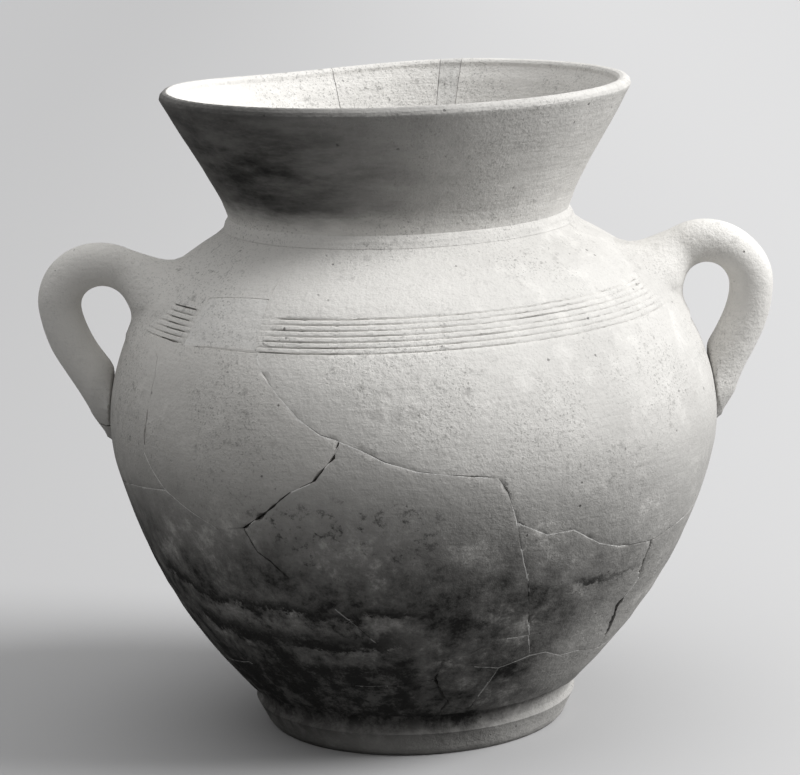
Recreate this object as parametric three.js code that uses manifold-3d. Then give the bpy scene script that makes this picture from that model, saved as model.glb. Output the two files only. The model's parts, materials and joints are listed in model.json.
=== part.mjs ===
// A two-handled pottery jar, put back together from its sherds.
// Millimetres, +Z up, the origin at the centre of the foot's underside, the front towards -Y.
import * as THREE from 'three';
import { mergeVertices } from 'three/addons/utils/BufferGeometryUtils.js';
import Module from 'manifold-3d';

const wasm = await Module();
wasm.setup();

// Driving dimensions of the pot
const jarHeight = 300;
const footRadius = 70.5; // resting edge
const footHeight = 22;
const footFlare = 5; // how far the foot's ridge stands out past its resting edge
const footRidgeHeight = 12;
const footGroove = 1.5; // how deep the foot is drawn in above its ridge
const bodyStep = 4.5; // how far the wall's lower edge stands out past the foot's ridge
const bellyRadius = 141.2;
const bellyHeight = 142;
const neckRadius = 78.3;
const neckHeight = 238;
const neckBead = 1.5; // roll of clay where the neck stands on the shoulder
const neckBeadHeight = 3;
const rimRadius = 107.8;
const wall = 7;
const floorThickness = 9;
const lipThickness = 6.8;
const lipRound = 3.4;
const bellyLean = 3.7; // how far the belly sags to the right of the foot and neck

// Driving dimensions of the comb band
const grooveCount = 7;
const groovePitch = 2.75;
const grooveWidth = 1.4;
const grooveDepth = 0.7;
const bandDrop = 33.5; // from the neck's seat down to the middle of the band
const bandTilt = 2.6; // how far the band climbs on the right and falls on the left

// Driving dimensions of the handles
const rodThickness = 20;
const gapRadius = 10.5; // round top of the finger gap
const archInset = 1.7; // middle of that round top, inside the belly's radius
const archDrop = 36.5; // middle of that round top, below the neck's seat
const spreadFrom = 115; // degrees round the arch, counted up from its outermost place, where the root spreads
const spreadTurn = 35; // degrees in which it spreads by the three sizes below
const rootThickening = 8;
const rootWidening = 12;
const gapWidening = 1.2;
const rootTurn = 230; // degrees round the arch at which the root has gone into the wall
const rootLimit = 44; // thickest and widest place of the root
const armSlope = 29; // degrees between the lower arm and upright
const armLead = 15; // how far the arm runs straight on at either end before it bends
const lowerRootRise = 14; // lower root, above the belly's widest place
const lowerRootDepth = 28; // how far the arm is drawn on inside the wall before it is cut off
const lowerRootFlare = 3; // added to the rod's thickness at the lower root
const lowerFlareLength = 8;
const stubDrop = 10; // break across the left handle, below the middle of its lower root
const leftHandle = { topAzimuth: -82, bottomAzimuth: -91 };
const rightHandle = { topAzimuth: 87, bottomAzimuth: 91 };

// Clearance of every glued or luted joint
const joint = 0.3;

// Fineness of the facets
const segments = 48;
const rowStep = 24;
const rodSides = 12;
const archRings = 14;
const armRings = 7;

// Outline of the wall: shares of the height and of the growth in radius, foot to belly and belly to neck
const lowerOutline = [[0, 0], [0.19, 0.315], [0.483, 0.68], [0.82, 0.937]];
const upperOutline = [
  [0, 1], [0.19, 0.974], [0.4, 0.876], [0.6, 0.713], [0.76, 0.511], [0.865, 0.291], [0.94, 0.105], [1, 0],
];

const rad = THREE.MathUtils.degToRad;
const wallFootRadius = footRadius + footFlare + bodyStep;
const wallCurve = new THREE.CatmullRomCurve3([
  ...lowerOutline.map(([rise, growth]) => new THREE.Vector3(
    THREE.MathUtils.lerp(wallFootRadius, bellyRadius, growth), 0,
    THREE.MathUtils.lerp(footHeight, bellyHeight, rise))),
  ...upperOutline.map(([rise, growth]) => new THREE.Vector3(
    THREE.MathUtils.lerp(neckRadius, bellyRadius, growth), 0,
    THREE.MathUtils.lerp(bellyHeight, neckHeight, rise))),
], false, 'centripetal');
const wallLength = wallCurve.getLength();

// Share of the wall's length at which its outline reaches a height
function shareAtHeight(height) {
  let low = 0;
  let high = 1;
  for (let step = 0; step < 30; step += 1) {
    const middle = (low + high) / 2;
    if (wallCurve.getPointAt(middle).z < height) low = middle;
    else high = middle;
  }
  return low;
}

// Point of the outline at a share of its length, sunk below the surface by a depth
function outlinePoint(share, depth = 0) {
  const inside = THREE.MathUtils.clamp(share, 0, 1);
  const point = wallCurve.getPointAt(inside);
  const tangent = wallCurve.getTangentAt(inside);
  return new THREE.Vector2(point.x - tangent.z * depth, point.z + tangent.x * depth);
}

function radiusAt(height) {
  return outlinePoint(shareAtHeight(height)).x;
}

// The pot's middle wanders to the right between the foot and the neck
function lean(height) {
  const share = THREE.MathUtils.clamp((height - footHeight) / (neckHeight - footHeight), 0, 1);
  return bellyLean * Math.sin(Math.PI * share);
}

// Place at a radius and height, seen from above at an azimuth that grows from the front to the right
function placed(radius, height, azimuth) {
  return new THREE.Vector3(
    radius * Math.sin(azimuth) + lean(height), -radius * Math.cos(azimuth), height);
}

// Closed mesh to solid and back, without the slivers that a lathe leaves on its axis
function solidOf(geometry) {
  const bare = geometry.clone();
  bare.deleteAttribute('normal');
  bare.deleteAttribute('uv');
  const merged = mergeVertices(bare, 1e-4);
  const corners = [...merged.index.array];
  const triangles = [];
  for (let i = 0; i < corners.length; i += 3) {
    const [a, b, c] = corners.slice(i, i + 3);
    if (a !== b && b !== c && c !== a) triangles.push(a, b, c);
  }
  return new wasm.Manifold(new wasm.Mesh({
    numProp: 3,
    vertProperties: new Float32Array(merged.attributes.position.array),
    triVerts: new Uint32Array(triangles),
  }));
}

function geometryOf(solid) {
  const mesh = solid.getMesh();
  const geometry = new THREE.BufferGeometry();
  const places = [];
  for (let i = 0; i < mesh.numVert; i += 1) {
    places.push(...mesh.vertProperties.slice(i * mesh.numProp, i * mesh.numProp + 3));
  }
  geometry.setAttribute('position', new THREE.Float32BufferAttribute(places, 3));
  geometry.setIndex([...mesh.triVerts]);
  geometry.computeVertexNormals();
  return geometry;
}

// Lathe of a profile of [radius, height] points, whose rings can be moved one vertex at a time
function turned(profile, place = (row, azimuth) => placed(profile[row].x, profile[row].y, azimuth)) {
  const geometry = new THREE.LatheGeometry(profile, segments);
  const position = geometry.attributes.position;
  for (let turn = 0; turn <= segments; turn += 1) {
    const azimuth = 2 * Math.PI * (turn % segments) / segments;
    for (let row = 0; row < profile.length; row += 1) {
      const point = place(row, azimuth);
      position.setXYZ(turn * profile.length + row, point.x, point.y, point.z);
    }
  }
  return solidOf(geometry);
}

// Rows of the wall's outer face, in shares of its length, with the comb's furrows cut into them
const bandMiddle = shareAtHeight(neckHeight - bandDrop);
const bandHalf = grooveCount * groovePitch / 2 / wallLength;
const bandEdge = 1; // plain wall kept between the comb's furrows and the next row of facets
function wallRows(withGrooves) {
  const rows = [];
  const count = Math.ceil(wallLength / rowStep);
  for (let i = 0; i <= count; i += 1) rows.push({ share: i / count, depth: 0 });
  if (!withGrooves) return rows;
  const clear = rows.filter((row) => Math.abs(row.share - bandMiddle) > bandHalf + bandEdge / wallLength);
  for (let groove = 0; groove < grooveCount; groove += 1) {
    const middle = bandMiddle + (groove - (grooveCount - 1) / 2) * groovePitch / wallLength;
    const half = grooveWidth / 2 / wallLength;
    clear.push({ share: middle - half, depth: 0 });
    clear.push({ share: middle, depth: grooveDepth });
    clear.push({ share: middle + half, depth: 0 });
  }
  return clear.sort((a, b) => a.share - b.share);
}

// The band tilts: rows near it slide up the wall on the right and down on the left
function tilted(share, azimuth) {
  const away = (share - bandMiddle) * wallLength / (bandHalf * wallLength + rowStep);
  const window = Math.max(0, 1 - away * away);
  return share + bandTilt * Math.sin(azimuth) * window * window / wallLength;
}

// Wall and floor as one vessel, still whole, up to the neck's seat
const floorCorner = 4; // lowest row of the inner face, above the floor
function wholeVessel(withGrooves) {
  const outer = wallRows(withGrooves);
  const inner = wallRows(false).reverse().filter((row) =>
    outlinePoint(row.share, wall).y > footHeight + floorThickness + floorCorner);
  const floorTop = footHeight + floorThickness;
  const floorEdge = outlinePoint(shareAtHeight(floorTop), wall).x - wall / 2;
  const rows = [
    { radius: 0, height: footHeight + joint / 2 },
    ...outer,
    ...inner.map((row) => ({ share: row.share, depth: wall })),
    { radius: floorEdge, height: floorTop },
    { radius: 0, height: floorTop },
  ];
  const place = (row, azimuth) => {
    if (rows[row].share === undefined) return placed(rows[row].radius, rows[row].height, azimuth);
    const point = outlinePoint(tilted(rows[row].share, azimuth), rows[row].depth);
    const height = THREE.MathUtils.clamp(point.y, footHeight + joint / 2, neckHeight - joint / 2);
    return placed(point.x, height, azimuth);
  };
  return turned(rows.map((row, i) => {
    const point = place(i, Math.PI / 2);
    return new THREE.Vector2(Math.abs(point.x), point.z);
  }), place);
}

// The wall's outer face with a joint's clearance over it, filled to the axis, to fit the handles to
function wallBlank() {
  const rows = wallRows(true);
  const profile = [
    new THREE.Vector2(0, footHeight),
    ...rows.map((row) => outlinePoint(row.share, -joint)),
    new THREE.Vector2(0, neckHeight),
  ];
  return turned(profile, (row, azimuth) => {
    const wallRow = rows[row - 1];
    if (!wallRow) return placed(0, profile[row].y, azimuth);
    const point = outlinePoint(tilted(wallRow.share, azimuth), -joint);
    return placed(point.x, point.y, azimuth);
  });
}

// Breaks between the sherds, as [azimuth in degrees, height in per cent of the wall from foot to neck].
// Each stretch between two corners is one list, so that both neighbours follow the same line.
const breaks = {
  // Front, left to right and top to bottom
  bandFootFarLeft: [[-104, 81], [-85, 79.5], [-67, 80.6]],
  bandFootLeft: [[-67, 80.6], [-52, 80.3]],
  bandFootFill: [[-52, 80.3], [-32, 81.2]],
  fillLeft: [[-52, 80.3], [-51, 89.5]],
  fillTop: [[-51, 89.5], [-33, 90.5]],
  fillRight: [[-33, 90.5], [-32, 81.2]],
  frontTop: [[-33, 90.5], [-34, 99], [-34, 140]],
  leftBreak: [
    [-67, 80.6], [-59.6, 76.8], [-58.4, 73.6], [-58.4, 64.5], [-58.8, 58.2], [-56.4, 55], [-52.5, 51],
  ],
  shoulderLeft: [[-32, 81.2], [-29.5, 77.3], [-25.7, 73.7], [-21.3, 69.2], [-16.8, 66.2], [-13.5, 65.1]],
  shoulderFront: [
    [-13.5, 65.1], [-9.7, 63.4], [-5.4, 61], [-0.3, 59.1], [5.7, 58], [14.1, 56.7], [15.8, 53.6], [17.7, 47],
  ],
  shoulderRight: [[17.7, 47], [24, 43.3], [29.7, 43.4], [36.3, 39.2], [42.1, 37.2], [53.2, 36]],
  shoulderFarRight: [[53.2, 36], [61.8, 37], [80, 39], [97, 42]],
  openBreak: [[-13.5, 65.1], [-14.5, 61.9], [-18.5, 56.9], [-22.7, 54.6], [-28.2, 49.7], [-33.6, 45.8]],
  openBreakLeft: [[-33.6, 45.8], [-40, 44.6], [-46, 47.5], [-52.5, 51]],
  bellyLeft: [
    [-33.6, 45.8], [-31.9, 40.6], [-29.3, 38.7], [-22.9, 31.9], [-18.4, 29.9], [-14.8, 26.2], [-4.9, 16.2],
  ],
  bellyRight: [[17.7, 47], [18.8, 41.9], [21.1, 34.7], [23.3, 26.2], [25.3, 19.7]],
  rightBreak: [
    [53.2, 36], [53, 31.4], [54.5, 26.9], [51.1, 20.8], [54.4, 15.9], [58.7, 9.4],
  ],
  chipBottomLeft: [[-4.9, 16.2], [5.7, 15.4]],
  bellyFoot: [[5.7, 15.4], [11.5, 16.5], [17.3, 19.7], [25.3, 19.7]],
  bellyFootRight: [[25.3, 19.7], [28.3, 14.1]],
  chipTop: [[5.7, 15.4], [9.6, 14.1], [20.4, 12]],
  chipTopRight: [[20.4, 12], [28.3, 14.1]],
  chipShoulder: [[5.7, 15.4], [4.3, 10.4]],
  chipLeft: [[4.3, 10.4], [7.5, 5], [9.2, 3.8], [7.3, 1.2], [11.3, -8]],
  chipRight: [[11.3, -8], [16.2, 0.1], [20.4, 12]],
  baseRight: [[28.3, 14.1], [32.7, 14.1], [39, 12], [45.7, 11.9], [58.7, 9.4]],
  baseFarRight: [[58.7, 9.4], [78, 11], [97, 8]],
  baseLeft: [[-104, 10], [-75, 8.5], [-50, 11], [-25, 9], [4.3, 10.4]],
  leftSideFoot: [[-104, 50], [-80, 47], [-52.5, 51]],
  // Back, where the breaks are guessed
  rightEdgeLow: [[97, 42], [103, 25], [97, 8]],
  rightEdgeHigh: [[97, 42], [93, 60], [101, 82], [97, 99], [97, 140]],
  leftEdgeLow: [[-104, 50], [-110, 30], [-104, 10]],
  leftEdgeMiddle: [[-104, 50], [-98, 65], [-104, 81]],
  leftEdgeHigh: [[-104, 81], [-106, 99], [-106, 140]],
  backMiddleRight: [[97, 42], [130, 48], [178, 44]],
  backMiddleLeft: [[178, 44], [220, 52], [256, 50]],
  backRidge: [[178, 44], [186, 60], [178, 82], [183, 99], [183, 140]],
  backLow: [[178, 44], [168, 28], [176, 9]],
  baseBackRight: [[97, 8], [138, 12], [176, 9]],
  baseBackLeft: [[176, 9], [216, 13], [256, 10]],
};

// Breaks run square to the wall, on planes through the middle of the belly
const heartDrop = 17; // below the belly's widest place
const heart = new THREE.Vector3(bellyLean, 0, bellyHeight - heartDrop);
const heartReachIn = 0.2;
const heartReachOut = 4;

// Place on the wall of a break's corner; it closes in over the mouth past 100 per cent, and under the foot
// below 0
function breakPoint([azimuth, percent]) {
  const height = THREE.MathUtils.lerp(footHeight, neckHeight, percent / 100);
  const inWall = THREE.MathUtils.clamp(height, footHeight, neckHeight);
  const closing = Math.max(0, percent - 100, -percent) / 60;
  return placed(radiusAt(inWall) * (1 - closing), height, rad(azimuth));
}

// Corners of a sherd, from its breaks in order round it; a name with a minus runs that break backwards
function outlineOf(names) {
  const corners = [];
  for (const name of names) {
    const line = breaks[name.replace('-', '')].map(breakPoint);
    if (name.startsWith('-')) line.reverse();
    for (const corner of line) {
      if (!corners.some((known) => known.distanceTo(corner) < 0.01)) corners.push(corner);
    }
  }
  return corners;
}

// Solid wedge from the heart through a sherd's outline, drawn in by half a joint on every side
function wedge(corners) {
  const rays = corners.map((corner) => corner.clone().sub(heart));
  const middle = new THREE.Vector3();
  rays.forEach((ray, i) => middle.add(ray.clone().cross(rays[(i + 1) % rays.length])));
  if (middle.dot(rays[0]) < 0) {
    rays.reverse();
    middle.negate();
  }
  middle.normalize();
  const across = new THREE.Vector3(0, 0, 1).cross(middle);
  if (across.length() < 0.1) across.set(1, 0, 0);
  across.normalize();
  const up = middle.clone().cross(across);
  const flat = (list) => list.map((ray) =>
    new THREE.Vector2(ray.dot(across) / ray.dot(middle), ray.dot(up) / ray.dot(middle)));
  const drawnIn = rays.map((ray, i) => {
    const out = ray.clone().normalize();
    const before = rays.at(i - 1).clone().sub(ray).projectOnPlane(out).normalize();
    const after = rays[(i + 1) % rays.length].clone().sub(ray).projectOnPlane(out).normalize();
    const inwardBefore = before.clone().cross(out);
    const inwardAfter = out.clone().cross(after);
    const inward = inwardBefore.clone().add(inwardAfter);
    return ray.clone().addScaledVector(inward, joint / 2 / (1 + inwardBefore.dot(inwardAfter)));
  });
  const count = drawnIn.length;
  const places = [];
  for (const reach of [heartReachIn, heartReachOut]) {
    for (const ray of drawnIn) places.push(...heart.clone().addScaledVector(ray, reach).toArray());
  }
  const index = [];
  for (const [a, b, c] of THREE.ShapeUtils.triangulateShape(flat(drawnIn), [])) {
    index.push(c, b, a, count + a, count + b, count + c);
  }
  for (let i = 0; i < count; i += 1) {
    const next = (i + 1) % count;
    index.push(i, next, count + next, i, count + next, count + i);
  }
  const geometry = new THREE.BufferGeometry();
  geometry.setAttribute('position', new THREE.Float32BufferAttribute(places, 3));
  geometry.setIndex(index);
  return solidOf(geometry);
}

// Each sherd: the breaks round it, in order, and the colour of its clay
const paleClay = 0xc9c4bb;
const buffClay = 0xb4aea4;
const greyClay = 0x8d8880;
const sootClay = 0x5f5b56;
const plaster = 0xd9d6cf;
const sherds = {
  base_sherd: [
    ['baseLeft', 'chipLeft', 'chipRight', 'chipTopRight', 'baseRight', 'baseFarRight', 'baseBackRight',
      'baseBackLeft'], greyClay],
  foot_chip_sherd: [['chipShoulder', 'chipLeft', 'chipRight', '-chipTop'], greyClay],
  low_front_sherd: [['bellyFoot', 'bellyFootRight', '-chipTopRight', '-chipTop'], sootClay],
  front_belly_sherd: [
    ['shoulderFront', 'bellyRight', '-bellyFoot', '-chipBottomLeft', '-bellyLeft', '-openBreak'], sootClay],
  right_belly_sherd: [
    ['shoulderRight', 'rightBreak', '-baseRight', '-bellyFootRight', '-bellyRight'], greyClay],
  right_side_sherd: [['shoulderFarRight', 'rightEdgeLow', '-baseFarRight', '-rightBreak'], greyClay],
  left_lower_sherd: [
    ['-openBreakLeft', 'bellyLeft', 'chipBottomLeft', 'chipShoulder', '-baseLeft', '-leftEdgeLow',
      'leftSideFoot'], sootClay],
  left_belly_sherd: [
    ['bandFootLeft', 'bandFootFill', 'shoulderLeft', 'openBreak', 'openBreakLeft', '-leftBreak'], buffClay],
  left_side_sherd: [['bandFootFarLeft', 'leftBreak', '-leftSideFoot', 'leftEdgeMiddle'], buffClay],
  left_shoulder_sherd: [
    ['bandFootFarLeft', 'bandFootLeft', 'fillLeft', 'fillTop', 'frontTop', '-leftEdgeHigh'], paleClay],
  band_fill: [['bandFootFill', '-fillRight', '-fillTop', '-fillLeft'], plaster],
  front_shoulder_sherd: [
    ['-frontTop', 'fillRight', 'shoulderLeft', 'shoulderFront', 'shoulderRight', 'shoulderFarRight',
      'rightEdgeHigh'], paleClay],
  back_right_shoulder_sherd: [['-rightEdgeHigh', 'backMiddleRight', 'backRidge'], buffClay],
  back_left_shoulder_sherd: [
    ['-backRidge', 'backMiddleLeft', 'leftEdgeMiddle', 'leftEdgeHigh'], buffClay],
  back_right_belly_sherd: [['backMiddleRight', 'backLow', '-baseBackRight', '-rightEdgeLow'], greyClay],
  back_left_belly_sherd: [['backMiddleLeft', 'leftEdgeLow', '-baseBackLeft', '-backLow'], greyClay],
};

// Foot: a thick disc luted under the vessel, flat below, with a turned ridge
function footDisc() {
  const top = footHeight - joint / 2;
  const ridge = footRadius + footFlare;
  const edge = 2;
  return turned([
    new THREE.Vector2(0, 0),
    new THREE.Vector2(footRadius - edge, 0),
    new THREE.Vector2(footRadius, edge),
    new THREE.Vector2(ridge - edge / 2, footRidgeHeight - edge),
    new THREE.Vector2(ridge, footRidgeHeight),
    new THREE.Vector2(ridge - footGroove, footRidgeHeight + edge),
    new THREE.Vector2(ridge - footGroove / 2, (footRidgeHeight + edge + top) / 2),
    new THREE.Vector2(ridge, top),
    new THREE.Vector2(0, top),
  ]);
}

// Neck and rim: a flaring collar that was thrown apart and set on the shoulder
function neckRing() {
  const seat = neckHeight + joint / 2;
  const lipCentre = new THREE.Vector2(rimRadius - lipThickness / 2, jarHeight - lipRound);
  const flare = rimRadius - neckRadius;
  const rise = lipCentre.y - neckHeight;
  const flank = new THREE.CubicBezierCurve(
    new THREE.Vector2(neckRadius, neckHeight),
    new THREE.Vector2(neckRadius + 0.04 * flare, neckHeight + 0.23 * rise),
    new THREE.Vector2(neckRadius + 0.6 * flare, neckHeight + 0.6 * rise),
    new THREE.Vector2(rimRadius, lipCentre.y));
  const steps = 8;
  const outer = [];
  const inner = [];
  for (let i = 1; i < steps; i += 1) {
    const point = flank.getPoint(i / steps);
    const tangent = flank.getTangent(i / steps);
    if (point.y > neckHeight + neckBeadHeight) outer.push(point);
    inner.unshift(new THREE.Vector2(point.x - tangent.y * wall, point.y + tangent.x * wall));
  }
  const lip = [];
  for (let i = 0; i <= 6; i += 1) {
    const turn = Math.PI * i / 6;
    lip.push(new THREE.Vector2(
      lipCentre.x + lipThickness / 2 * Math.cos(turn), lipCentre.y + lipRound * Math.sin(turn)));
  }
  const seatOuter = new THREE.Vector2(neckRadius + neckBead, seat);
  return turned([
    seatOuter,
    new THREE.Vector2(neckRadius + neckBead, neckHeight + neckBeadHeight / 2),
    new THREE.Vector2(flank.getPoint(neckBeadHeight / rise).x, neckHeight + neckBeadHeight),
    ...outer,
    ...lip,
    ...inner.filter((point) => point.y < lip.at(-1).y - 1 && point.y > seat + 1),
    new THREE.Vector2(neckRadius - wall, seat),
    seatOuter,
  ]);
}

// Upright wedge between two azimuths in degrees, drawn in on both sides (let out when negative)
function sector(from, to, inset) {
  const half = rad(to - from) / 2;
  const middle = rad(from + to) / 2;
  const reach = 2 * rimRadius;
  const shape = new THREE.Shape();
  const tip = inset / Math.sin(half);
  const ray = (turn, length) => new THREE.Vector2(
    tip * Math.sin(middle) + length * Math.sin(turn), -tip * Math.cos(middle) - length * Math.cos(turn));
  shape.setFromPoints(
    [ray(middle, 0), ray(middle - half, reach), ray(middle, reach), ray(middle + half, reach)]);
  const geometry = new THREE.ExtrudeGeometry(shape, { depth: 2 * jarHeight, bevelEnabled: false });
  return solidOf(geometry);
}

// Rim joins at the back, in degrees: a narrow plaster strip and a sherd beside it
const rimStripFrom = 161;
const rimSherdFrom = 167;
const rimSherdTo = 197;

// Rings of the rod, from the upper root over the finger gap and down the arm into the wall: each one's
// middle, the direction of its outer side, and how thick and wide it is
const lowerRoot = bellyHeight + lowerRootRise;
function rodRings() {
  const archMiddle = new THREE.Vector2(bellyRadius - archInset, neckHeight - archDrop);
  const rings = [];
  for (let i = 0; i < archRings; i += 1) {
    const turn = rootTurn * (1 - i / archRings);
    const spread = Math.max(0, turn - spreadFrom) / spreadTurn;
    const inner = gapRadius + gapWidening * Math.max(0, spread - 1) ** 2;
    const thick = Math.min(rodThickness + rootThickening * spread ** 2, rootLimit);
    const wide = Math.min(rodThickness + rootWidening * spread ** 1.5, rootLimit);
    const out = new THREE.Vector2(Math.cos(rad(turn)), Math.sin(rad(turn)));
    rings.push({ middle: archMiddle.clone().addScaledVector(out, inner + thick / 2), out, thick, wide });
  }
  const start = new THREE.Vector2(archMiddle.x + gapRadius + rodThickness / 2, archMiddle.y);
  const lower = new THREE.Vector2(radiusAt(lowerRoot), lowerRoot);
  const down = new THREE.Vector2(-Math.sin(rad(armSlope)), -Math.cos(rad(armSlope)));
  const armTop = new THREE.Vector2(start.x, start.y - armLead);
  const armFoot = lower.clone().addScaledVector(down, -armLead);
  const arm = new THREE.CubicBezierCurve(start, armTop, armFoot, lower);
  const ring = (middle, tangent) => {
    const flare = lowerRootFlare * Math.exp(-middle.distanceTo(lower) / lowerFlareLength);
    const size = rodThickness + flare;
    rings.push({ middle, out: new THREE.Vector2(-tangent.y, tangent.x), thick: size, wide: size });
  };
  for (let i = 0; i <= armRings; i += 1) ring(arm.getPoint(i / armRings), arm.getTangent(i / armRings));
  ring(lower.clone().addScaledVector(down, lowerRootDepth / 2), down);
  ring(lower.clone().addScaledVector(down, lowerRootDepth), down);
  return rings;
}

// Handle: a rod of clay bent from the shoulder down to the belly, wider at its roots
function handle({ topAzimuth, bottomAzimuth }) {
  const rings = rodRings();
  const places = [];
  rings.forEach(({ middle, out, thick, wide }, i) => {
    const azimuth = rad(THREE.MathUtils.lerp(topAzimuth, bottomAzimuth, i / (rings.length - 1)));
    for (let side = 0; side < rodSides; side += 1) {
      const turn = 2 * Math.PI * side / rodSides;
      const point = middle.clone().addScaledVector(out, thick / 2 * Math.cos(turn));
      const across = wide / 2 * Math.sin(turn);
      const place = placed(point.x, point.y, azimuth);
      places.push(place.x + across * Math.cos(azimuth), place.y + across * Math.sin(azimuth), place.z);
    }
  });
  const index = [];
  const last = (rings.length - 1) * rodSides;
  for (let start = 0; start < last; start += rodSides) {
    for (let side = 0; side < rodSides; side += 1) {
      const next = (side + 1) % rodSides;
      const [a, b] = [start + side, start + next];
      index.push(a, b + rodSides, b, a, a + rodSides, b + rodSides);
    }
  }
  for (let side = 1; side < rodSides - 1; side += 1) {
    index.push(0, side, side + 1, last, last + side + 1, last + side);
  }
  const geometry = new THREE.BufferGeometry();
  geometry.setAttribute('position', new THREE.Float32BufferAttribute(places, 3));
  geometry.setIndex(index);
  return solidOf(geometry).subtract(wallBlank());
}

// Everything below a height, to part the broken root from its handle
function slabBelow(height) {
  const size = 4 * bellyRadius;
  const geometry = new THREE.BoxGeometry(size, size, size);
  geometry.translate(0, 0, height - size / 2);
  return solidOf(geometry);
}

const jar = new THREE.Group();
function add(name, solid, color, roughness = 0.85) {
  const material = new THREE.MeshStandardMaterial({ color, roughness, metalness: 0 });
  const mesh = new THREE.Mesh(geometryOf(solid), material);
  mesh.name = name;
  jar.add(mesh);
}

add('foot_disc', footDisc(), greyClay);
const vessel = wholeVessel(true);
const plainVessel = wholeVessel(false); // plaster was smoothed over without combing it
for (const [name, [names, color]] of Object.entries(sherds)) {
  const whole = color === plaster ? plainVessel : vessel;
  add(name, whole.intersect(wedge(outlineOf(names))), color);
}

const neck = neckRing();
add('neck_and_rim', neck.subtract(sector(rimStripFrom, rimSherdTo, -joint / 2)), buffClay);
add('rim_fill_strip', neck.intersect(sector(rimStripFrom, rimSherdFrom, joint / 2)), plaster);
add('rim_back_sherd', neck.intersect(sector(rimSherdFrom, rimSherdTo, joint / 2)), paleClay);

const left = handle(leftHandle);
const breakHeight = lowerRoot - stubDrop;
add('left_handle', left.subtract(slabBelow(breakHeight + joint / 2)), buffClay);
add('left_handle_stub', left.intersect(slabBelow(breakHeight - joint / 2)), buffClay);
add('right_handle', handle(rightHandle), paleClay);

export default jar;
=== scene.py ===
import json
import math
from bisect import bisect_left

import bmesh
import bpy
from mathutils import Matrix, Vector, noise


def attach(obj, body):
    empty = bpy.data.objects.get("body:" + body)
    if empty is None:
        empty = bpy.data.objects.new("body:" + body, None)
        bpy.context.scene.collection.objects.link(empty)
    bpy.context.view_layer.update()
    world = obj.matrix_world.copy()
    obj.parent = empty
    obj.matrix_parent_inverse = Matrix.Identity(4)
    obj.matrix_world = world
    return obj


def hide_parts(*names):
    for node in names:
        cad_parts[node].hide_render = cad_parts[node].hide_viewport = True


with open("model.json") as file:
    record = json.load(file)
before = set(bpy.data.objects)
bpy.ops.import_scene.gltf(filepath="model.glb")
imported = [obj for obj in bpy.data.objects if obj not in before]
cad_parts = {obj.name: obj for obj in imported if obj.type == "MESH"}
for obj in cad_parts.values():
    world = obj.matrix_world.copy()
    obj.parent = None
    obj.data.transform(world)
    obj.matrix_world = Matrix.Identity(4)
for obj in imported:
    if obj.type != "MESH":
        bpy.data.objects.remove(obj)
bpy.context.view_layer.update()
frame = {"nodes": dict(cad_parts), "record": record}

scene = bpy.context.scene
scene.view_settings.view_transform = "Standard"

# Camera: a long lens a little above the rim, looking down at the jar's middle.
# The picture stands slightly turned, so the camera rolls by two degrees.
pitch = 0.2025
roll = 0.0356
camera_place = (-0.00244, -1.4176, 0.44805)
look = Vector((0, math.cos(pitch), -math.sin(pitch)))
level = Vector((1, 0, 0))
rise = level.cross(look)
right = level * math.cos(roll) - rise * math.sin(roll)
top = rise * math.cos(roll) + level * math.sin(roll)
camera_data = bpy.data.cameras.new("camera")
camera_data.sensor_width = 36
camera_data.lens = 139.5
camera = bpy.data.objects.new("camera", camera_data)
scene.collection.objects.link(camera)
turned = Matrix((right, top, -look)).transposed().to_4x4()
camera.matrix_world = Matrix.Translation(camera_place) @ turned
scene.camera = camera


# Shader maths: a wire is a socket, and sums and products of wires add Math nodes.
class Wire:
    def __init__(self, tree, socket):
        self.tree = tree
        self.socket = socket

    def make(self, kind, settings=None, inputs=None, output=0):
        node = self.tree.nodes.new(kind)
        for name, value in (settings or {}).items():
            setattr(node, name, value)
        for key, value in (inputs or {}).items():
            if isinstance(value, Wire):
                self.tree.links.new(value.socket, node.inputs[key])
            else:
                node.inputs[key].default_value = value
        return Wire(self.tree, node.outputs[output])

    def maths(self, operation, *values):
        return self.make("ShaderNodeMath", {"operation": operation}, dict(enumerate(values)))

    def __add__(self, other):
        return self.maths("ADD", self, other)

    def __radd__(self, other):
        return self.maths("ADD", other, self)

    def __sub__(self, other):
        return self.maths("SUBTRACT", self, other)

    def __rsub__(self, other):
        return self.maths("SUBTRACT", other, self)

    def __mul__(self, other):
        return self.maths("MULTIPLY", self, other)

    def __rmul__(self, other):
        return self.maths("MULTIPLY", other, self)

    def __abs__(self):
        return self.maths("ABSOLUTE", self)

    def at_most(self, other):
        return self.maths("MINIMUM", self, other)

    def at_least(self, other):
        return self.maths("MAXIMUM", self, other)

    def step(self, low, high):
        """0 below low, 1 above high, smooth between; the other way round when low is above high."""
        return self.make("ShaderNodeMapRange", {"interpolation_type": "SMOOTHSTEP"},
                         {0: self, 1: low, 2: high, 3: 0.0, 4: 1.0})

    def noise(self, scale, detail=3.0, rough=0.55, stretch=(1, 1, 1)):
        place = self.make("ShaderNodeMapping", None, {"Vector": self, "Scale": stretch})
        return self.make("ShaderNodeTexNoise", None,
                         {"Vector": place, "Scale": scale, "Detail": detail, "Roughness": rough})

    def attribute(self, name):
        """The share that the mesh's vertices carry under a name; 0 on a mesh that lacks it."""
        return self.make("ShaderNodeAttribute", {"attribute_name": name}, output="Fac")

    def parts(self):
        first = self.make("ShaderNodeSeparateXYZ", None, {0: self})
        return [Wire(self.tree, socket) for socket in first.socket.node.outputs]

    def over(self, colour, share):
        """colour laid over this one by a share."""
        return self.make("ShaderNodeMix", {"data_type": "RGBA"}, {0: share, 6: self, 7: colour}, output=2)


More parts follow.
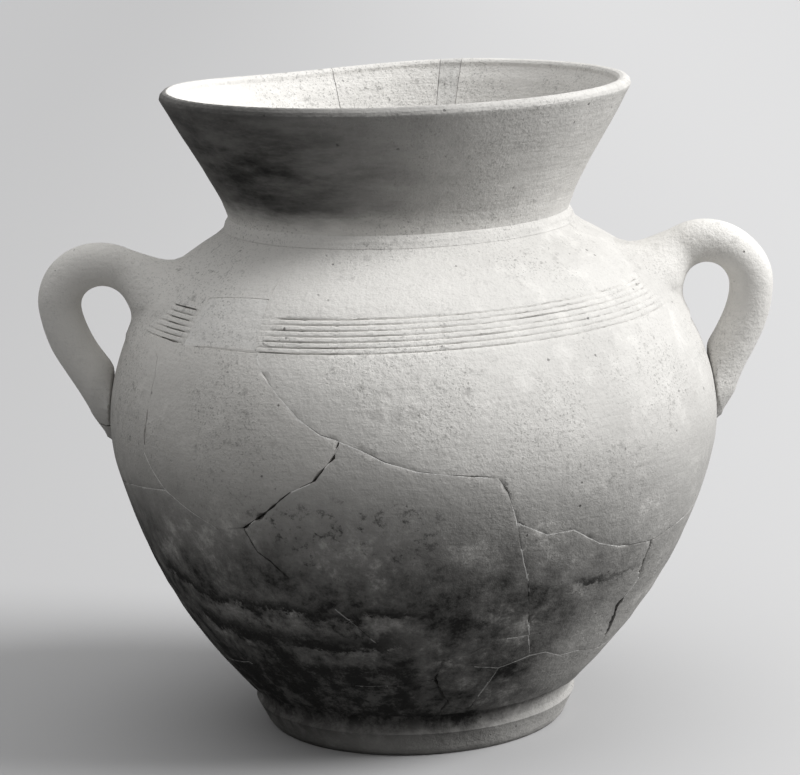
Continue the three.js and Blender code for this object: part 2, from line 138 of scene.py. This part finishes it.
# Studio: a large soft lamp low on the right, a room that is bright above and dark at the sides,
# and a pale paper floor that runs back out of view. The paper throws little light up at the jar.
lamp_azimuth = math.radians(79)
lamp_elevation = math.radians(36)
lamp_softness = math.radians(30)
lamp_strength = 3.45
room_strength = 1.42
floor_half = 9
painted_shade_paper = (0.41, 0.41, 0.414, 1)
paler_paper = (0.56, 0.56, 0.564, 1)
unlit_paper = (0.2, 0.2, 0.2, 1)

lamp_data = bpy.data.lights.new("key", "SUN")
lamp_data.angle = lamp_softness
lamp_data.energy = lamp_strength
lamp = bpy.data.objects.new("key", lamp_data)
towards_lamp = Vector((
    math.sin(lamp_azimuth) * math.cos(lamp_elevation),
    -math.cos(lamp_azimuth) * math.cos(lamp_elevation),
    math.sin(lamp_elevation)))
lamp.matrix_world = towards_lamp.to_track_quat("Z", "Y").to_matrix().to_4x4()
scene.collection.objects.link(lamp)

world = bpy.data.worlds.new("room")
world.use_nodes = True
scene.world = world
room = world.node_tree.nodes["Background"]
room.inputs["Strength"].default_value = 1.0
around = Wire(world.node_tree, world.node_tree.nodes.new("ShaderNodeTexCoord").outputs["Generated"])
upwards = around.parts()[2].at_least(0.0)
world.node_tree.links.new((upwards * upwards * room_strength).socket, room.inputs["Color"])

floor_mesh = bmesh.new()
bmesh.ops.create_grid(floor_mesh, x_segments=1, y_segments=1, size=floor_half)
floor_data = bpy.data.meshes.new("paper_floor")
floor_mesh.to_mesh(floor_data)
floor = bpy.data.objects.new("paper_floor", floor_data)
scene.collection.objects.link(floor)
floor_material = bpy.data.materials.new("paper")
floor_material.use_nodes = True
paper = floor_material.node_tree.nodes["Principled BSDF"]
paper.inputs["Roughness"].default_value = 0.9
across = Wire(floor_material.node_tree,
              floor_material.node_tree.nodes.new("ShaderNodeTexCoord").outputs["Object"]).parts()[0]
by_camera = across.make("ShaderNodeLightPath")
# The paper is laid darker towards the left: painted shade on the side where the jar's shadow falls.
seen_paper = across.make("ShaderNodeMix", {"data_type": "RGBA"},
                         {0: across.step(-0.5, 0.45), 6: painted_shade_paper, 7: paler_paper}, output=2)
paper_colour = across.make("ShaderNodeMix", {"data_type": "RGBA"},
                           {0: by_camera, 6: unlit_paper, 7: seen_paper}, output=2)
floor_material.node_tree.links.new(paper_colour.socket, paper.inputs["Base Color"])
floor_data.materials.append(floor_material)

# Vessel wall: a coarse, pale buff clay with dark grit, wiped wet and fired in an open fire.
# It broke into sherds, which are glued edge to edge with small gaps and lines of plaster.
# Its outline holds radii and heights in millimetres, and its belly leans a little to the right.
mm = 0.001
foot_height = 22 * mm
belly_height = 142 * mm
neck_height = 238 * mm
neck_radius = 78.3 * mm
seat_roll = 4 * mm
belly_lean = 3.7 * mm
cad_sectors = 48
wall_thickness = 6.9 * mm
seat_edge = 1.3 * mm
merge_distance = 2e-6
wall_points = [
    (80, 22), (99.3, 44.8), (121.6, 80), (137.3, 120.4), (141.2, 142), (139.6, 160.2), (133.4, 180.4),
    (123.1, 199.6), (110.4, 215), (96.6, 225), (84.9, 232.2), (78.3, 238),
]


def curve_through(points, steps=40):
    """Dense points of the centripetal curve through the points, end to end."""
    first = tuple(2 * a - b for a, b in zip(points[0], points[1]))
    last = tuple(2 * a - b for a, b in zip(points[-1], points[-2]))
    knots = [Vector(p) for p in (first, *points, last)]
    dense = []
    for i in range(1, len(knots) - 2):
        p0, p1, p2, p3 = knots[i - 1:i + 3]
        t1 = (p1 - p0).length ** 0.5
        t2 = t1 + (p2 - p1).length ** 0.5
        t3 = t2 + (p3 - p2).length ** 0.5
        for step in range(steps):
            t = t1 + (t2 - t1) * step / steps
            a1 = p0.lerp(p1, t / t1)
            a2 = p1.lerp(p2, (t - t1) / (t2 - t1))
            a3 = p2.lerp(p3, (t - t2) / (t3 - t2))
            b1 = a1.lerp(a2, t / t2)
            b2 = a2.lerp(a3, (t - t1) / (t3 - t1))
            dense.append(b1.lerp(b2, (t - t1) / (t2 - t1)))
    dense.append(knots[-2].copy())
    return dense


wall_curve = [p * mm for p in curve_through(wall_points)]
wall_heights = [p.y for p in wall_curve]


def wall_radius(height):
    at = min(max(bisect_left(wall_heights, height), 1), len(wall_heights) - 1)
    low, high = wall_curve[at - 1], wall_curve[at]
    share = min(max((height - low.y) / (high.y - low.y), 0), 1)
    return low.x + (high.x - low.x) * share


def lean(height):
    share = min(max((height - foot_height) / (neck_height - foot_height), 0), 1)
    return belly_lean * math.sin(math.pi * share)


def azimuth_and_radius(place):
    x = place.x - lean(place.z)
    return math.atan2(x, -place.y), math.hypot(x, place.y)


def from_axis(azimuth, radius, height):
    return Vector((radius * math.sin(azimuth) + lean(height), -radius * math.cos(azimuth), height))


def smooth_share(value, low, high):
    share = min(max((value - low) / (high - low), 0), 1)
    return share * share * (3 - 2 * share)


def within(value, low, high, edge):
    """1 from low to high, fading to 0 over an edge on either side."""
    return smooth_share(value, low - edge, low) * smooth_share(value, high + edge, high)


def hand_wobble(place):
    """Small swellings and turning ridges that a hand leaves on the clay, outwards from the axis."""
    low = smooth_share(place.z, 0.1, 0.06) * smooth_share(place.z, 0.02, 0.035)
    swell = noise.noise(place * 14) * 0.6 + noise.noise(place * 40) * 0.2
    ridge = noise.noise(Vector((place.x * 4, place.y * 4, place.z * 95)))
    lump = noise.noise(Vector((place.x * 110, place.y * 110, place.z * 150)))
    return (swell + ridge * (0.12 + 0.5 * low) + lump * (0.06 + 0.16 * low)) * mm


def new_piece(name, mesh, material, slot, *nodes):
    data = bpy.data.meshes.new(name)
    mesh.to_mesh(data)
    mesh.free()
    data.materials.append(material)
    piece = bpy.data.objects.new(name, data)
    scene.collection.objects.link(piece)
    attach(piece, "root")
    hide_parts(*nodes)
    return piece


def fine_copy(node, edge, inner_edge):
    """The node's solid, merged, cut finer and rounded from its flat facets to true circles."""
    def limit(line):
        middle = (line.verts[0].co + line.verts[1].co) / 2
        if neck_height < middle.z < neck_height + seat_roll:
            return seat_edge
        deep = wall_radius(middle.z) - azimuth_and_radius(middle)[1] > 4 * mm
        return inner_edge if deep and middle.z < neck_height else edge

    mesh = bmesh.new()
    mesh.from_mesh(frame["nodes"][node].data)
    bmesh.ops.remove_doubles(mesh, verts=mesh.verts, dist=merge_distance)
    mesh.normal_update()
    for _ in range(8):
        long_edges = [line for line in mesh.edges if line.calc_length() > limit(line)]
        if not long_edges:
            break
        bmesh.ops.subdivide_edges(mesh, edges=long_edges, cuts=1)
        bmesh.ops.triangulate(mesh, faces=[face for face in mesh.faces if len(face.verts) > 3])
        bmesh.ops.dissolve_degenerate(mesh, dist=merge_distance / 2, edges=mesh.edges)
    half_sector = math.pi / cad_sectors
    for vert in mesh.verts:
        azimuth, radius = azimuth_and_radius(vert.co)
        off_middle = azimuth % (2 * half_sector) - half_sector
        radius *= math.cos(off_middle) / math.cos(half_sector)
        vert.co = from_axis(azimuth, radius, vert.co.z)
    return mesh


def shade(mesh, sharp_angle):
    mesh.normal_update()
    for face in mesh.faces:
        face.smooth = True
    for line in mesh.edges:
        if len(line.link_faces) == 2 and line.calc_face_angle(0) > sharp_angle:
            line.smooth = False


def clay(name, pale, wiped=0.5, neck=0.0):
    """Fired clay: grit, pits painted dark as shade, wiping, and the dark cloud that the fire left low down
    on the front, deepened with painted shade; also painted shade in grooves and open breaks, and painted
    light on the handles and on plaster along the cracks.
    """
    material = bpy.data.materials.new(name)
    material.use_nodes = True
    tree = material.node_tree
    shader = tree.nodes["Principled BSDF"]
    place = Wire(tree, tree.nodes.new("ShaderNodeTexCoord").outputs["Object"])
    x, y, z = place.parts()
    azimuth = x.maths("ARCTAN2", x, abs(y))
    broad = place.noise(9, 3)
    blotch = place.noise(26, 5, 0.65)
    mottle = place.noise(75, 5, 0.66)
    smear = place.noise(24, 5, 0.68, (1, 1, 4))
    wipe = place.noise(60, 4, 0.6, (1, 1, 9))
    cloud = place.noise(40, 7, 0.78)
    ragged = place.noise(130, 6, 0.8)
    sand = place.noise(420, 3, 0.7)
    grit = place.noise(1000, 2, 0.6)

    # Fire cloud, partly a real smoke stain and partly painted shade on the lower left that turns from the
    # lamp: it thins upwards and to the right, and is blotched and smeared level
    height = z + (broad - 0.5) * 0.014 + (blotch - 0.5) * 0.012
    turn = azimuth + (blotch - 0.5) * 0.35
    front = y.step(0.07, -0.04)
    to_right = 1 - 0.64 * turn.step(0.3, 1.3)
    rubbed_right = 1 - 0.45 * (turn.step(0.4, 0.85) * z.step(0.08, 0.055) * z.step(0.024, 0.034))
    soot_and_shade = height.step(0.18, 0.078) * 0.84 * to_right * rubbed_right * (0.4 + 0.6 * front)
    low = height.step(0.15, 0.11)
    soot_and_shade = soot_and_shade * (1 + (cloud - 0.5) * (0.5 + 1.1 * low) + (mottle - 0.5) * 0.6)
    between = (abs(z - 0.0738) - 0.0015).step(0.0045, 0.0) * turn.step(0.1, -0.1) * turn.step(-1.0, -0.8)
    soot_and_shade = soot_and_shade - 0.3 * low * cloud.step(0.46, 0.3) - 0.16 * between * cloud.step(0.62, 0.4)
    deep = height.step(0.064, 0.05) * turn.step(0.4, -0.05) * turn.step(-1.75, -1.2) * front
    soot_and_shade = soot_and_shade.at_least(deep * (0.8 + 0.2 * (cloud + ragged - 0.5).step(0.3, 0.56)) * 0.98)
    # Two dark streaks and a faint one along the turning ridges, sharp below and soft above
    for level_height, width, start, stop, rise_at, rise in (
            (0.0812, 0.0036, -1.35, 0.3, -0.8, 0.0075), (0.0648, 0.0048, -1.2, 0.16, -0.84, 0.011),
            (0.088, 0.0026, 0.45, 1.0, 0.0, 0.0)):
        line = level_height + azimuth.step(rise_at, rise_at - 0.3) * rise + (broad - 0.5) * 0.008
        above = z - line + (cloud - 0.5) * 0.02 + (ragged - 0.5) * 0.016 + (smear - 0.5) * 0.006
        streak = above.step(-width - 0.003, -width + 0.0025) * above.step(width + 0.012, width - 0.004)
        ends = turn.step(start, start + 0.2) * (turn + (ragged - 0.5) * 0.5).step(stop + 0.35, stop - 0.35)
        soot_and_shade = soot_and_shade.at_least(streak * ends * front * (0.84 + 0.15 * ragged.step(0.3, 0.55)))
    # Dark flecks in the middle of the front
    patch = (abs(azimuth + 0.22) - 0.2).step(0.4, 0.0) * (abs(z - 0.112) - 0.014).step(0.026, 0.0)
    flecks = (cloud + ragged - 0.5).step(0.36, 0.66)
    soot_and_shade = soot_and_shade.at_least(patch * flecks * front * (0.58 + 0.3 * ragged.step(0.4, 0.65)))
    # The resting edge is rubbed pale
    rubbed = (z + (mottle - 0.5) * 0.008).step(0.021, 0.004) * (0.25 + 0.3 * turn.step(-1.1, -0.2))
    soot_and_shade = soot_and_shade * (1 - rubbed)
    # Smoke cloud on the left of the neck, deepened with painted shade where the flaring neck turns from
    # the lamp, darkest half way up
    smoke_and_shade = (azimuth + (cloud - 0.5) * 0.7).step(1.05, -0.75)
    smoke_and_shade = smoke_and_shade * (z + (smear - 0.5) * 0.012).step(0.2395, 0.254)
    smoke_and_shade = smoke_and_shade * (0.83 + (smear - 0.5) * 0.4 + (cloud - 0.5) * 0.18)
    core = (abs(turn + 0.6) - 0.1).step(0.9, 0.0) * (abs(z - 0.271) - 0.003).step(0.026, 0.0)
    smoke_and_shade = (smoke_and_shade + core * (0.03 + 0.07 * smear.step(0.35, 0.65))) * (0.3 + 0.7 * front)
    inside = place.attribute("inside")
    soot_and_shade = soot_and_shade.at_least(smoke_and_shade * neck).at_most(0.985) * (1 - inside)
    handle_painted_light = place.attribute("handle_painted_light")

    colour = place.make("ShaderNodeRGB")
    colour.socket.default_value = (*pale, 1)
    tones = [(*(share * part for part in pale), 1) for share in (0.84, 0.78, 1.2, 1.28)]
    colour = colour.over(tones[0], blotch.step(0.42, 0.66) * 0.55)
    colour = colour.over(tones[1], wipe.step(0.48, 0.7) * wiped * 0.4)
    colour = colour.over(tones[2], mottle.step(0.5, 0.68) * 0.5)
    colour = colour.over(tones[2], azimuth.step(0.8, -0.25) * z.step(0.17, 0.2) * front * 0.9)
    # Handles painted paler where they stand out from the wall: painted light on the rods; the inside of
    # the collar is laid a little paler too.
    painted_light_on_handles = handle_painted_light * (0.7 + 0.3 * blotch.step(0.4, 0.6))
    colour = colour.over(tones[3], painted_light_on_handles.at_least(inside * (0.3 * neck)))
    colour = colour.over((0.014, 0.0137, 0.0132, 1), soot_and_shade)
    # Grit: dense in some places, nearly none in others
    dense = 0.25 + 0.75 * place.noise(17, 3, 0.6).step(0.42, 0.6)
    dark_grit = grit.step(0.56, 0.68) * dense
    smudge = place.noise(210, 3, 0.65).step(0.58, 0.7) * dense
    bare = 1 - 0.8 * soot_and_shade
    grit_share = (dark_grit * 0.5 + smudge * 0.34) * bare * (1 - 0.5 * handle_painted_light)
    colour = colour.over((0.13, 0.127, 0.12, 1), grit_share)
    pale_grit = place.noise(760, 2, 0.6).step(0.62, 0.72) * dense
    colour = colour.over((0.7, 0.69, 0.67, 1), pale_grit * 0.22 * bare)
    # Pits painted dark: painted shade in the small hollows that the bump sinks.
    cells = place.make("ShaderNodeTexVoronoi", None, {"Vector": place, "Scale": 120.0, "Randomness": 1.0})
    pit = (cells + (sand - 0.5) * 0.16).step(0.1, 0.05) * place.noise(55, 2).step(0.5, 0.6)
    colour = colour.over((0.06, 0.058, 0.055, 1), pit * 0.6)
    # Furrows and open breaks painted dark: painted shade in the grooves and gaps.
    painted_groove_shade = place.attribute("groove_shade")
    colour = colour.over((0.07, 0.068, 0.065, 1), painted_groove_shade.step(0.3, 0.95) * 0.55)
    # Plaster along closed breaks: real plaster with a painted highlight, as it is laid only where the edge
    # meets the light from above.
    line = place.attribute("plaster_and_highlight")
    colour = colour.over((0.9, 0.89, 0.87, 1), line.step(0.62, 0.8) * (0.75 - 0.45 * soot_and_shade))
    tree.links.new(colour.socket, shader.inputs["Base Color"])
    roughness = 0.8 + 0.16 * mottle
    tree.links.new(roughness.socket, shader.inputs["Roughness"])
    shader.inputs["Specular IOR Level"].default_value = 0.15
    relief = sand * (0.35 + 0.4 * dense) + wipe * (0.5 * wiped) + mottle * 0.7 - pit * 0.6 + grit * 0.12
    bump = relief.make("ShaderNodeBump", None, {"Strength": 0.7, "Distance": 0.001, "Height": relief})
    tree.links.new(bump.socket, shader.inputs["Normal"])
    return material


pale_clay = clay("pale_clay", (0.63, 0.618, 0.594))
buff_clay = clay("buff_clay", (0.63, 0.616, 0.59))
grey_clay = clay("grey_clay", (0.58, 0.568, 0.546))
plaster = clay("plaster_fill", (0.66, 0.65, 0.628), wiped=0.2)
slot_materials = {"pale_clay": pale_clay, "buff_clay": buff_clay, "grey_clay": grey_clay,
                  "sooted_clay": grey_clay, "plaster_fill": plaster}
wall_nodes = [
    "base_sherd", "foot_chip_sherd", "low_front_sherd", "front_belly_sherd", "right_belly_sherd",
    "right_side_sherd", "left_lower_sherd", "left_belly_sherd", "left_side_sherd", "left_shoulder_sherd",
    "band_fill", "front_shoulder_sherd", "back_right_shoulder_sherd", "back_left_shoulder_sherd",
    "back_right_belly_sherd", "back_left_belly_sherd",
]
slots = {row["node"]: row["material_slot"] for row in frame["record"]["subparts"]}
wall_edge = 2.4 * mm
hidden_edge = 14 * mm
near_face = 1.9 * mm
facing_out = 0.3
highest_plaster = 195 * mm
break_angle = math.radians(48)
band_middle = neck_height - 33.5 * mm
band_climb = 1.9 * mm
band_half = 7.1 * mm
# Where a break gapes: azimuths in degrees, heights and half the extra width in millimetres, unevenness
gaping = [
    (-33.5, -23.5, 119, 139, 0.55, 1), (-18, -13.5, 144, 160, 0.5, 1), (-32.5, -27, 100, 118, 0.4, 1),
    (49, 61, 52, 70, 1.6, 0.2), (48, 57, 84, 99, 0.5, 0.6), (3, 12.5, 26, 46, 0.6, 0.8),
    (12, 18, 20, 30, 0.4, 1), (-60, -56, 150, 166, 0.4, 1),
]


def made_good(azimuth, height):
    """1 round the plaster patch in the comb band, where the joints are smoothed over."""
    return within(math.degrees(azimuth), -95, -18, 2) * within(height / mm, 190, 240, 2)


def gape(azimuth, height):
    """Half the extra width of a break at a place on the wall; below 0 where glue and plaster fill it."""
    turn = math.degrees(azimuth)
    tall = height / mm
    uneven = 2.2 * noise.noise(Vector((turn * 0.6, tall * 0.28, 3))) - 0.25
    wide = max(
        within(turn, west, east, 0.6) * within(tall, low, high, 2) * width * max(1 + ragged * uneven, 0)
        for west, east, low, high, width, ragged in gaping)
    filled = 0.125 * smooth_share(noise.noise(Vector((turn * 0.2, tall * 0.1, 9))), 0.3, -0.1)
    closed = max(filled, 0.148 * made_good(azimuth, height))
    return (wide - closed * smooth_share(wide, 0.15, 0)) * mm


def comb_band(azimuth, height):
    """1 in the band of furrows, which climbs a little to the right."""
    middle = band_middle + band_climb * math.sin(azimuth)
    return within(height, middle - band_half, middle + band_half, 0.4 * mm)


def comb_strength(azimuth, height):
    """How much of the comb's furrows is left: worn on the right, and lost where plaster fills the band."""
    turn = math.degrees(azimuth)
    tall = height / mm
    uneven = 0.85 + 0.7 * noise.noise(Vector((turn * 0.09, tall * 0.5, 7)))
    left_part = smooth_share(turn, -52, -55) * 1.6
    faint = within(turn, -53, -33, 1) * smooth_share(tall, 203, 199) * 0.35
    start = -33 + (tall - 194) * 0.24
    right_part = smooth_share(turn, start, start + 1.5) * (1.25 - 0.5 * smooth_share(turn, -28, -5))
    right_part *= 1 - 0.3 * smooth_share(turn, 30, 80)
    return max(left_part, faint, right_part) * uneven


def rough_patch(azimuth, height):
    """Spalled, crumbly patches on the shoulder sherd."""
    turn = math.degrees(azimuth)
    tall = height / mm
    first = within(turn, -6, 2, 5) * within(tall, 170, 182, 7)
    second = within(turn, 34, 43, 5) * within(tall, 132, 148, 9)
    flake = within(turn, -41, -33, 3) * within(tall, 101, 119, 3)
    return max(first, second * 0.8, flake)


def outer_face(mesh):
    outer = set()
    for vert in mesh.verts:
        azimuth, radius = azimuth_and_radius(vert.co)
        away = Vector((math.sin(azimuth), -math.cos(azimuth), 0))
        facing = max(face.normal.dot(away) for face in vert.link_faces)
        if abs(radius - wall_radius(vert.co.z)) < near_face and facing > facing_out:
            outer.add(vert)
    return outer


def broken_edge(mesh, outer):
    """The outer face's verts along its breaks, each with the way from the break into its own sherd."""
    on_break = {vert for line in mesh.edges for vert in line.verts
                if len(line.link_faces) == 2 and line.calc_face_angle(0) > break_angle
                and line.verts[0] in outer and line.verts[1] in outer}
    plain = outer - on_break
    ways = {}
    for vert in on_break:
        others = [line.other_vert(vert) for line in vert.link_edges]
        inward = sum((other.co - vert.co for other in others if other in plain), Vector())
        ways[vert] = inward.normalized() if inward.length > 0 else inward
    return ways


def weather(mesh):
    """Works the wall's outer face and its broken edges; marks the edges that plaster has run along, only
    where the sherd lies below or beside the break, as a painted highlight, and marks furrows and open
    breaks for painted shade.
    """
    plaster_and_highlight = mesh.verts.layers.float.new("plaster_and_highlight")
    groove_shade = mesh.verts.layers.float.new("groove_shade")
    inside = mesh.verts.layers.float.new("inside")
    mesh.normal_update()
    outer = outer_face(mesh)
    ways = broken_edge(mesh, outer)
    for vert in mesh.verts:
        azimuth, radius = azimuth_and_radius(vert.co)
        height = vert.co.z
        true_radius = wall_radius(height)
        depth = true_radius - radius
        wobble = hand_wobble(vert.co)
        vert[inside] = smooth_share(depth, 3 * mm, 6 * mm)
        opened = Vector()
        if vert in outer:
            cut = smooth_share(depth, 0.1 * mm, 0.3 * mm) * comb_band(azimuth, height)
            furrow = depth * cut * comb_strength(azimuth, height)
            # Deep furrows are marked to be painted dark as shade.
            vert[groove_shade] = smooth_share(furrow, 0.35 * mm, 0.9 * mm)
            radius = true_radius - furrow + wobble
            if cut > 0:
                height += noise.noise(Vector((azimuth * 7, height * 45, 1))) * 0.45 * mm
            rough = rough_patch(azimuth, height)
            if rough > 0:
                radius += noise.noise(vert.co * 230) * rough * 0.45 * mm
        elif depth < wall_thickness:
            radius += wobble * smooth_share(depth, wall_thickness, near_face)
            opened = vert.normal * -max(gape(azimuth, height), 0) * (1 - depth / wall_thickness)
        vert.co = from_axis(azimuth, radius, height) + opened
        if vert in ways and foot_height + 2 * mm < height < neck_height - 2 * mm:
            gap = gape(azimuth, height)
            filled = noise.noise(vert.co * 30 + Vector((5, 0, 0))) > (-0.2 if azimuth > -0.3 else 0.1)
            # Plaster marks go only where the sherd lies below or beside the break: painted highlight where
            # proud plaster meets the light from above.
            if gap < 0.1 * mm and filled and ways[vert].z < 0.1 and height < highest_plaster:
                vert[plaster_and_highlight] = 1.0
            # Open breaks are marked to be painted dark as shade in their gaps.
            vert[groove_shade] = max(vert[groove_shade], smooth_share(gap, 0.4 * mm, 1 * mm))
            chip = 0.08 + max(0, noise.noise(vert.co * 160)) * 0.9 + max(gap, 0) / mm * 0.35
            chip *= 1 - made_good(azimuth, height)
            azimuth, radius = azimuth_and_radius(vert.co)
            vert.co = from_axis(azimuth, radius - chip * mm, height) + ways[vert] * gap


for node in wall_nodes:
    sherd = fine_copy(node, wall_edge, hidden_edge)
    weather(sherd)
    shade(sherd, break_angle)
    new_piece(node + "_clay", sherd, slot_materials[slots[node]], slots[node], node)

# Foot: a thick disc of the same clay, luted under the wall and turned to a ridge.
# Its resting edge is rubbed pale.
foot_edge = 4 * mm
foot_rim_from = 65 * mm
foot = fine_copy("foot_disc", foot_edge, foot_edge)
for vert in foot.verts:
    azimuth, radius = azimuth_and_radius(vert.co)
    if radius > foot_rim_from:
        radius += hand_wobble(vert.co) * 0.8
    vert.co = from_axis(azimuth, radius, vert.co.z)
shade(foot, break_angle)
new_piece("foot_disc_clay", foot, grey_clay, slots["foot_disc"], "foot_disc")

# Neck and rim: a flaring collar thrown apart and set on the shoulder, with a rounded lip.
# Two joins and a strip of plaster show inside it at the back.
neck_clay = clay("neck_clay", (0.66, 0.647, 0.622), wiped=1.0, neck=1.0)
neck_edge = 3 * mm
rim_height = 300 * mm
sag_middle = -2.62
sag_half = 0.95
sag_drop = 3.2 * mm
roll_out = 1.75 * mm
roll_down = 2.9 * mm
for node in ("neck_and_rim", "rim_fill_strip", "rim_back_sherd"):
    collar = fine_copy(node, neck_edge, neck_edge)
    inside = collar.verts.layers.float.new("inside")
    collar.normal_update()
    for vert in collar.verts:
        away = from_axis(azimuth_and_radius(vert.co)[0], 1, vert.co.z) - from_axis(0, 0, vert.co.z)
        vert[inside] = smooth_share(vert.normal.dot(away), 0.3, -0.3)
    for vert in collar.verts:
        azimuth, radius = azimuth_and_radius(vert.co)
        swell = noise.noise(Vector((vert.co.x * 9, vert.co.y * 9, vert.co.z * 4))) * 0.7
        ridge = noise.noise(Vector((vert.co.x * 3, vert.co.y * 3, vert.co.z * 130))) * 0.22
        lump = noise.noise(vert.co * 90) * 0.12
        off = abs((azimuth - sag_middle + math.pi) % (2 * math.pi) - math.pi)
        sag = sag_drop * smooth_share(off, sag_half, 0) * smooth_share(vert.co.z, neck_height, rim_height)
        # The collar's lowest clay is thumbed down on the shoulder in a soft roll
        roll = max(0, 1 - (vert.co.z - neck_height) / seat_roll)
        roll *= smooth_share(radius, neck_radius - 0.8 * mm, neck_radius + 1 * mm)
        own = (swell + ridge + lump) * mm * (1 - roll) + hand_wobble(vert.co) * roll
        height = vert.co.z - sag - roll_down * roll ** 2
        vert.co = from_axis(azimuth, radius + own + roll_out * roll ** 3, height)
    shade(collar, break_angle)
    material = plaster if node == "rim_fill_strip" else neck_clay
    new_piece(node + "_clay", collar, material, slots[node], node)

# Handles: rods of clay 20 mm thick, bent over a finger gap from the shoulder down to the belly.
# Each root is thumbed out wide on the wall; the left one broke off low and left its stub.
handle_clay = clay("handle_clay", (0.63, 0.617, 0.592), wiped=0.5)
rod_thickness = 20 * mm
gap_radius = 10.5 * mm
arch_middle = Vector((139.5 * mm, 201.5 * mm))
root_turn = 230
root_limit = 44 * mm
arm_slope = math.radians(29)
arm_lead = 15 * mm
lower_root = belly_height + 14 * mm
lower_root_depth = 28 * mm
break_height = lower_root - 10 * mm
handle_joint = 0.3 * mm
buried = 0.7 * mm
soft = 4.5 * mm
rod_sides = 48
arch_rings = 60
arm_rings = 26
root_rings = 12


def rod_rings():
    """Middle, outward direction, thickness and width of each ring, from the upper root to the lower."""
    rings = []
    for i in range(arch_rings):
        turn = root_turn * (1 - i / arch_rings)
        spread = max(0, turn - 115) / 35
        inner = gap_radius + 1.2 * mm * max(0, spread - 1) ** 2
        thick = min(rod_thickness + 8 * mm * spread ** 2, root_limit)
        wide = min(rod_thickness + 12 * mm * spread ** 1.5, root_limit)
        out = Vector((math.cos(math.radians(turn)), math.sin(math.radians(turn))))
        rings.append((arch_middle + out * (inner + thick / 2), out, thick, wide))
    start = arch_middle + Vector((gap_radius + rod_thickness / 2, 0))
    lower = Vector((wall_radius(lower_root), lower_root))
    down = Vector((-math.sin(arm_slope), -math.cos(arm_slope)))
    bends = [start, start - Vector((0, arm_lead)), lower - down * arm_lead, lower]
    path = []
    for i in range(arm_rings):
        share = i / arm_rings
        sides = [a.lerp(b, share) for a, b in zip(bends, bends[1:])]
        sides = [a.lerp(b, share) for a, b in zip(sides, sides[1:])]
        path.append((sides[0].lerp(sides[1], share), (sides[1] - sides[0]).normalized()))
    for middle, tangent in path:
        size = rod_thickness + 3 * mm * math.exp(-(middle - lower).length / (8 * mm))
        rings.append((middle, Vector((-tangent.y, tangent.x)), size, size))
    for i in range(root_rings):
        share = i / (root_rings - 1)
        size = (rod_thickness + 3 * mm) * (1 - 0.65 * share * share)
        middle = lower + down * lower_root_depth * share - Vector((5 * mm * share * share, 0))
        rings.append((middle, Vector((-down.y, down.x)), size, size))
    return rings


def rod(top_azimuth, bottom_azimuth):
    """The rod, with its roots spread into a thin skirt that runs out on the wall."""
    mesh = bmesh.new()
    rings = rod_rings()
    loops = []
    for i, (middle, out, thick, wide) in enumerate(rings):
        azimuth = math.radians(top_azimuth + (bottom_azimuth - top_azimuth) * i / (len(rings) - 1))
        sideways = Vector((math.cos(azimuth), math.sin(azimuth), 0))
        loop = bmesh.ops.create_circle(mesh, segments=rod_sides, radius=1)["verts"]
        centre = from_axis(azimuth, middle.x, middle.y)
        spread, reach = (8 * mm, 4 * mm) if i < arch_rings else (2.5 * mm, 3 * mm)
        for vert in loop:
            point = middle + out * thick / 2 * vert.co.x
            place = from_axis(azimuth, point.x, point.y) + sideways * wide / 2 * vert.co.y
            above = azimuth_and_radius(place)[1] - wall_radius(place.z)
            away_from_gap = 0.12 + 0.88 * smooth_share(vert.co.x, -0.75, 0.25)
            buried_share = max(above, -3 * mm) if i < arch_rings else abs(above)
            skirt = spread * away_from_gap * math.exp(-buried_share / reach)
            vert.co = place + (place - centre).normalized() * skirt
        loops.append(loop)
    for before, after in zip(loops, loops[1:]):
        both = set(before) | set(after)
        edges = {line for vert in both for line in vert.link_edges
                 if line.verts[0] in both and line.verts[1] in both}
        edges = [line for line in edges if (line.verts[0] in before) == (line.verts[1] in before)]
        bmesh.ops.bridge_loops(mesh, edges=edges)
    bmesh.ops.holes_fill(mesh, edges=[line for line in mesh.edges if len(line.link_faces) == 1])
    bmesh.ops.recalc_face_normals(mesh, faces=mesh.faces)
    handle_painted_light = mesh.verts.layers.float.new("handle_painted_light")
    for vert in mesh.verts:
        azimuth, radius = azimuth_and_radius(vert.co)
        surface = wall_radius(vert.co.z)
        above = radius - surface
        if above < soft - buried:
            above = -buried + soft * math.exp((above + buried - soft) / soft)
        wobble = noise.noise(vert.co * 45) * 0.6 * mm + noise.noise(vert.co * 110) * 0.2 * mm
        # How far the rod stands out from the wall, which the clay paints paler as painted light
        vert[handle_painted_light] = smooth_share(above, 1 * mm, 14 * mm)
        own = smooth_share(above, 0, 6 * mm)
        wobble = wobble * own + hand_wobble(from_axis(azimuth, surface, vert.co.z)) * (1 - own)
        vert.co = from_axis(azimuth, surface + above + wobble, vert.co.z)
    return mesh


def keep_side(mesh, height, above):
    cut = bmesh.ops.bisect_plane(
        mesh, geom=mesh.verts[:] + mesh.edges[:] + mesh.faces[:], plane_co=(0, 0, height),
        plane_no=(0, 0, 1), clear_inner=above, clear_outer=not above)
    edges = [item for item in cut["geom_cut"] if isinstance(item, bmesh.types.BMEdge)]
    bmesh.ops.holes_fill(mesh, edges=edges)
    return mesh


left_turns = (-82, -91)
right_turns = (87, 91)
for name, node, mesh in (
        ("left_handle_rod", "left_handle",
         keep_side(rod(*left_turns), break_height + handle_joint, True)),
        ("left_handle_root", "left_handle_stub",
         keep_side(rod(*left_turns), break_height - handle_joint, False)),
        ("right_handle_rod", "right_handle", rod(*right_turns))):
    shade(mesh, break_angle)
    new_piece(name, mesh, handle_clay, slots[node], node)
